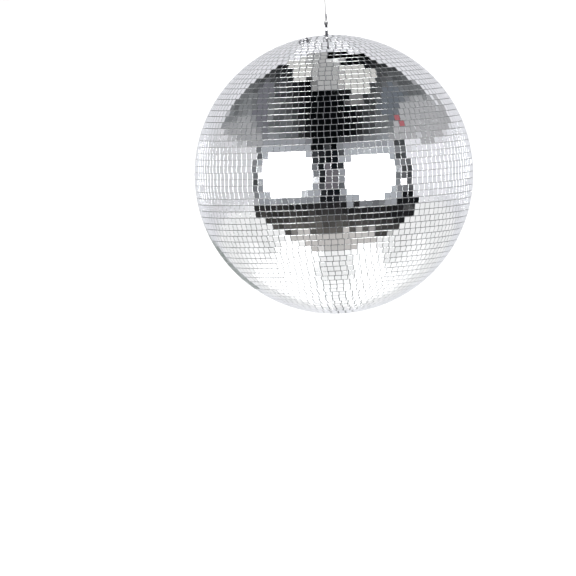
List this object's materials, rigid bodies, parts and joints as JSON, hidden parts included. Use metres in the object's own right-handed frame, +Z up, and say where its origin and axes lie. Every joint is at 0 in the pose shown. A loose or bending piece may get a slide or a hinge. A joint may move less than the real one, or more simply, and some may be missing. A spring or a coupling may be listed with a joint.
{
  "type": "mirror ball",
  "caption": "Hanging sphere covered in small square mirror tiles, with a main eye on a thin wire and a safety ring, that throws spots of light round a room as it turns.",
  "frame": {"origin": "centre of the bore of the thimble that the ball hangs from", "axes": "+Z up along the hanging wire, -Y the front of the ball, +X the ball's right seen from the front and along the thimble's bore"},
  "size_m": [0.5, 0.5001, 0.5983],
  "materials": {
    "mirror_glass": "silvered flat glass tiles with cut edges",
    "backing_cloth": "grey woven backing",
    "core_plastic": "white moulded plastic",
    "bright_chrome": "bright plated steel",
    "zinc_steel": "zinc plated steel",
    "wire_steel": "fine stranded steel wire",
    "ferrule_metal": "pressed aluminium"
  },
  "bodies": {
    "hook_thimble": {"top_thimble": "bright_chrome"},
    "wire": {"hanging_wire": "wire_steel", "upper_ferrule": "ferrule_metal"},
    "wire_end": {"wire_lower_end": "wire_steel", "lower_ferrule": "ferrule_metal"},
    "ball": {"mirror_tiles_band_01": "mirror_glass", "mirror_tiles_band_02": "mirror_glass", "mirror_tiles_band_03": "mirror_glass", "mirror_tiles_band_04": "mirror_glass", "mirror_tiles_band_05": "mirror_glass", "mirror_tiles_band_06": "mirror_glass", "mirror_tiles_band_07": "mirror_glass", "mirror_tiles_band_08": "mirror_glass", "mirror_tiles_band_09": "mirror_glass", "mirror_tiles_band_10": "mirror_glass", "mirror_tiles_band_11": "mirror_glass", "seam_filler_tiles": "mirror_glass", "bottom_centre_tile": "mirror_glass", "backing_strips_upper": "backing_cloth", "backing_strips_lower": "backing_cloth", "upper_shell": "core_plastic", "lower_shell": "core_plastic", "equator_joining_ring": "core_plastic", "top_reinforcing_plate": "zinc_steel", "main_eye_bolt": "bright_chrome", "eye_seat_washer": "bright_chrome", "eye_inner_washer": "zinc_steel", "eye_spring_washer": "zinc_steel", "eye_nut": "zinc_steel", "eye_locking_nut": "zinc_steel", "safety_staple": "bright_chrome", "safety_seat_plate": "bright_chrome", "safety_inner_plate": "zinc_steel", "safety_nuts": "zinc_steel"},
    "drop_ring": {"safety_ring": "bright_chrome"}
  },
  "joints": [
    {"name": "wire_swing", "type": "hinge", "parent": "hook_thimble", "child": "wire", "pos_m": [0, 0, 0], "axis": [1, 0, 0], "range_deg": [-60, 60]},
    {"name": "ball_spin", "type": "hinge", "parent": "wire", "child": "wire_end", "pos_m": [0, 0, -0.05325], "axis": [0, 0, 1], "continuous": true},
    {"name": "ball_swing", "type": "hinge", "parent": "wire_end", "child": "ball", "pos_m": [0, 0, -0.071], "axis": [0, 1, 0], "range_deg": [-60, 60]},
    {"name": "safety_ring_flip", "type": "hinge", "parent": "ball", "child": "drop_ring", "pos_m": [-0.03617, -0.0447, -0.09752], "axis": [-0.7773, 0.6291, 0], "range_deg": [0, 180]}
  ]
}
